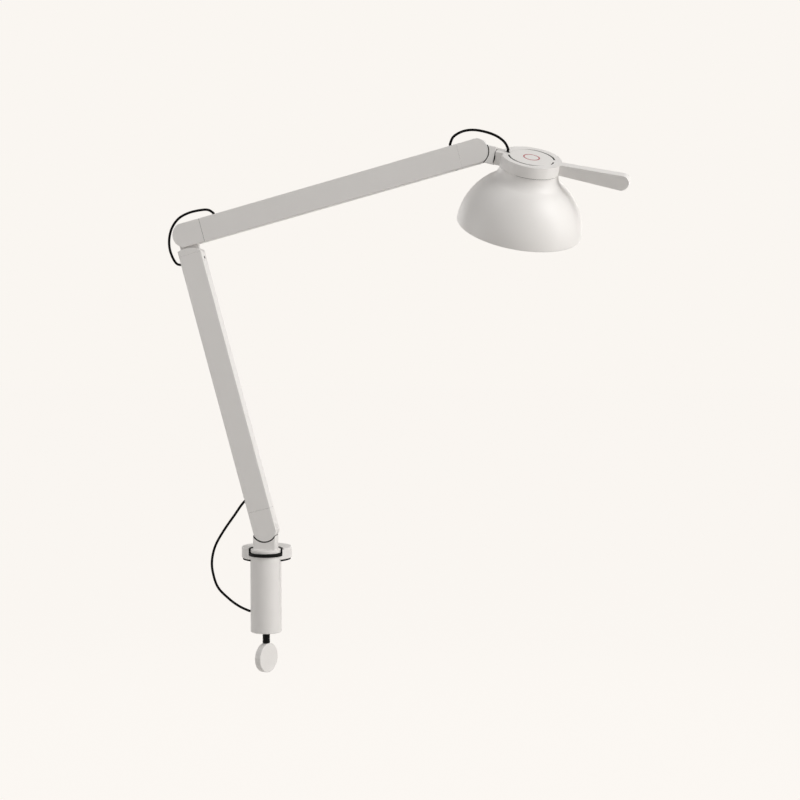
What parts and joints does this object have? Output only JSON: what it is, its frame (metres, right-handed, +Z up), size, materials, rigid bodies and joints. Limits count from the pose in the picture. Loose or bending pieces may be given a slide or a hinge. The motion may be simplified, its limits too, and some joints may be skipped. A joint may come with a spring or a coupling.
{
  "type": "clamp lamp",
  "caption": "Clamp-on task lamp with a swivelling base, hinged arms, a domed shade that tilts and rolls, a paddle handle and a touch mark.",
  "frame": {"origin": "on the clamp screw's axis, at the underside of the upper jaw's pad, which rests on the table's top", "axes": "+Z up, +Y from the spine of the clamp in over the table, +X to the right seen from outside the table"},
  "size_m": [0.597, 0.1707, 0.7132],
  "materials": {
    "white_paint": "satin off-white powder coat on aluminium",
    "white_casting": "satin off-white powder coat on a metal casting",
    "white_plastic": "matt off-white plastic",
    "black_plastic": "matt black plastic",
    "black_rubber": "black rubber",
    "black_cord": "smooth black cord",
    "black_steel": "blackened steel thread",
    "steel": "zinc-plated steel",
    "aluminium": "plain aluminium",
    "red_mark": "translucent red plastic",
    "circuit_board": "green circuit board",
    "led_board_white": "white solder mask on an aluminium board",
    "led": "yellow phosphor",
    "opal": "opal acrylic"
  },
  "bodies": {
    "clamp": {"clamp_body": "white_casting", "upper_jaw_pad": "black_rubber", "swivel_liner": "black_plastic", "power_inlet": "black_plastic", "clamp_cord_bushing": "black_plastic", "base_cord_lower": "black_cord"},
    "foot": {"pressure_foot": "white_casting", "pressure_foot_pad": "black_rubber"},
    "screw": {"clamp_screw": "black_steel", "clamp_knob": "white_casting", "knob_pin": "steel"},
    "swivel": {"swivel_base": "white_casting", "swivel_bolt": "steel", "base_friction_washers": "black_plastic"},
    "lower_arm": {"lower_arm_tube": "white_paint", "lower_arm_base_fork": "white_paint", "lower_arm_elbow_tongue": "white_paint", "lower_arm_set_screw": "steel", "lower_arm_bushings": "black_plastic", "lower_arm_wire": "black_cord", "base_pivot_bolt": "steel", "elbow_friction_washers": "black_plastic", "base_cord_upper": "black_cord"},
    "upper_arm": {"upper_arm_tube": "white_paint", "upper_arm_elbow_fork": "white_paint", "upper_arm_head_fork": "white_paint", "upper_arm_set_screw": "steel", "upper_arm_bushings": "black_plastic", "upper_arm_wire": "black_cord", "elbow_pivot_bolt": "steel", "head_pivot_bolt": "steel", "elbow_cord": "black_cord"},
    "knuckle": {"head_knuckle": "white_paint", "head_friction_washers": "black_plastic", "roll_washer": "black_plastic", "roll_bolt": "steel", "head_cord_lower": "black_cord"},
    "head": {"head_frame": "white_paint", "head_cord_bushing": "black_plastic", "touch_ring": "red_mark", "touch_board": "circuit_board", "shade": "white_paint", "shade_screws": "steel", "heat_sink": "aluminium", "led_board": "led_board_white", "leds": "led", "reflector": "white_plastic", "diffuser": "opal", "diffuser_ring": "white_plastic", "head_cord_upper": "black_cord"}
  },
  "joints": [
    {"name": "base_swivel", "type": "hinge", "parent": "clamp", "child": "swivel", "pos_m": [0, 0, 0], "axis": [0, 0, 1], "range_deg": [-150, 150], "deforming": ["base_cord_lower"]},
    {"name": "base_pivot", "type": "hinge", "parent": "swivel", "child": "lower_arm", "pos_m": [0, 0, 0.0435], "axis": [0.2062, 0.9785, 0], "range_deg": [-34, 60], "deforming": ["base_cord_upper"]},
    {"name": "elbow", "type": "hinge", "parent": "lower_arm", "child": "upper_arm", "pos_m": [-0.10361, 0.02183, 0.42923], "axis": [0.2062, 0.9785, 0], "range_deg": [-110, 9], "deforming": ["elbow_cord"]},
    {"name": "head_tilt", "type": "hinge", "parent": "upper_arm", "child": "knuckle", "pos_m": [0.27428, -0.0578, 0.53343], "axis": [0.2062, 0.9785, 0], "range_deg": [-60, 40], "deforming": ["head_cord_lower"]},
    {"name": "head_roll", "type": "hinge", "parent": "knuckle", "child": "head", "pos_m": [0.27428, -0.0578, 0.53343], "axis": [0.9527, -0.2008, -0.2284], "range_deg": [-110, 70], "deforming": ["head_cord_upper"]},
    {"name": "foot_slide", "type": "slide", "parent": "clamp", "child": "foot", "axis": [0, 0, 1], "range_m": [-0.0221, 0.0131]},
    {"name": "screw_turn", "type": "hinge", "parent": "foot", "child": "screw", "pos_m": [0, 0, -0.1], "axis": [0, 0, 1], "range_deg": [-2640, 1560]}
  ],
  "couplings": [
    {"joint": "foot_slide", "follows": "screw_turn", "m_per_rad": 0.00047746}
  ]
}
